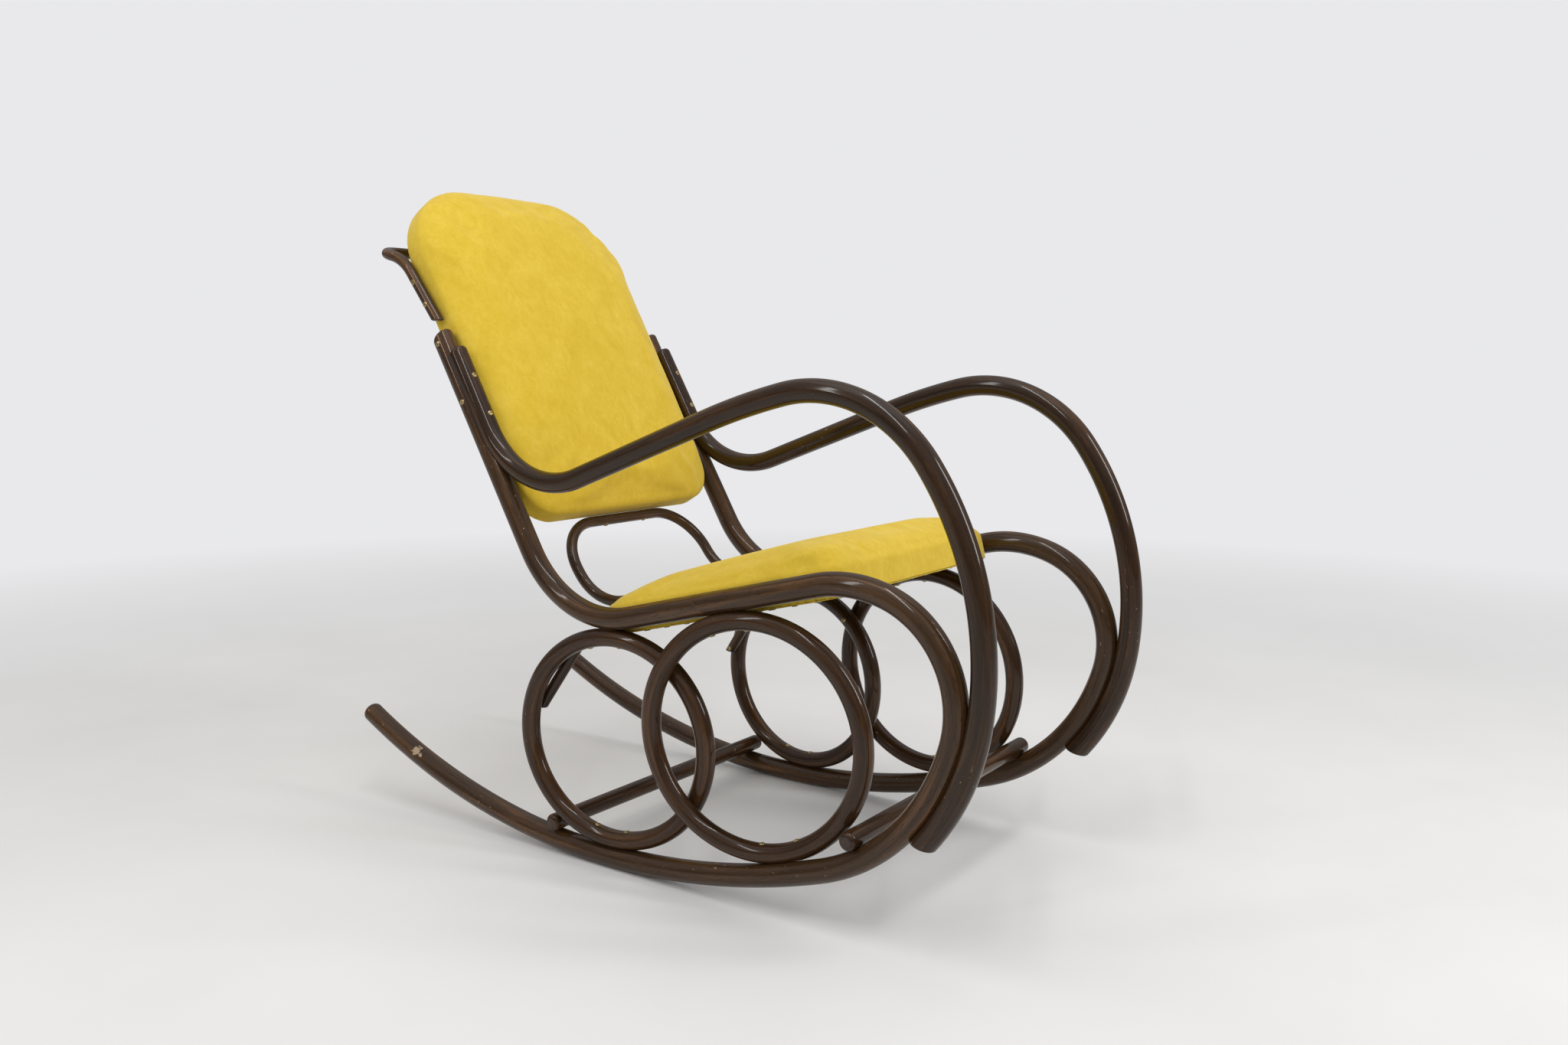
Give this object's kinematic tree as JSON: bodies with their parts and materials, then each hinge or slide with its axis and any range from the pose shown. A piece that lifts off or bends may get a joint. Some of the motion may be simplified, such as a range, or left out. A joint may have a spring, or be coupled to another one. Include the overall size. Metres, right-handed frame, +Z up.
{
  "type": "bentwood rocking chair",
  "caption": "Bentwood rocking chair: side frames that curl into arms and runners, rings between rail and runner, padded velvet seat and tall reclined back.",
  "frame": {"origin": "on the floor under the middle of the chair (middle of the bounding box, at its bottom)", "axes": "+Z up, the front of the chair faces -Y, +X is the sitter's left"},
  "size_m": [0.5428, 1.1642, 1.0182],
  "materials": {
    "stained_beech": "dark walnut stain under glossy lacquer",
    "frame_wood": "bare planed wood",
    "velvet": "mustard yellow short-pile velvet",
    "jute": "woven jute webbing",
    "dust_cover": "dark non-woven cloth",
    "brass": "dull brass, domed heads"
  },
  "bodies": {
    "root": {"side_post_left": "stained_beech", "side_post_right": "stained_beech", "side_runner_left": "stained_beech", "side_runner_right": "stained_beech", "arm_left": "stained_beech", "arm_right": "stained_beech", "ring_rear_left": "stained_beech", "ring_rear_right": "stained_beech", "ring_front_left": "stained_beech", "ring_front_right": "stained_beech", "stretcher_rear": "stained_beech", "stretcher_front": "stained_beech", "seat_stay_left": "stained_beech", "seat_stay_right": "stained_beech", "back_hoop": "stained_beech", "head_handle": "stained_beech", "seat_lining": "dust_cover", "seat_frame": "frame_wood", "seat_webbing": "jute", "seat_cushion": "velvet", "back_rear_cover": "velvet", "back_frame": "frame_wood", "back_webbing": "jute", "back_cushion": "velvet", "screw_post_top_left": "brass", "screw_post_top_right": "brass", "screw_post_mid_left": "brass", "screw_post_mid_right": "brass", "screw_arm_top_left": "brass", "screw_arm_top_right": "brass", "screw_arm_low_left": "brass", "screw_arm_low_right": "brass", "screw_handle_low_left": "brass", "screw_handle_low_right": "brass", "screw_handle_top_left": "brass", "screw_handle_top_right": "brass", "screw_stay_left": "brass", "screw_stay_right": "brass", "screw_ring_crossing_left": "brass", "screw_ring_crossing_right": "brass", "screw_ring_rear_foot_back_left": "brass", "screw_ring_rear_foot_back_right": "brass", "screw_ring_rear_foot_front_left": "brass", "screw_ring_rear_foot_front_right": "brass", "screw_ring_rear_top_back_left": "brass", "screw_ring_rear_top_back_right": "brass", "screw_ring_rear_top_front_left": "brass", "screw_ring_rear_top_front_right": "brass", "screw_ring_front_foot_back_left": "brass", "screw_ring_front_foot_back_right": "brass", "screw_ring_front_foot_front_left": "brass", "screw_ring_front_foot_front_right": "brass", "screw_ring_front_top_back_left": "brass", "screw_ring_front_top_back_right": "brass", "screw_ring_front_top_front_left": "brass", "screw_ring_front_top_front_right": "brass", "screw_hoop_left": "brass", "screw_hoop_right": "brass"}
  },
  "joints": []
}
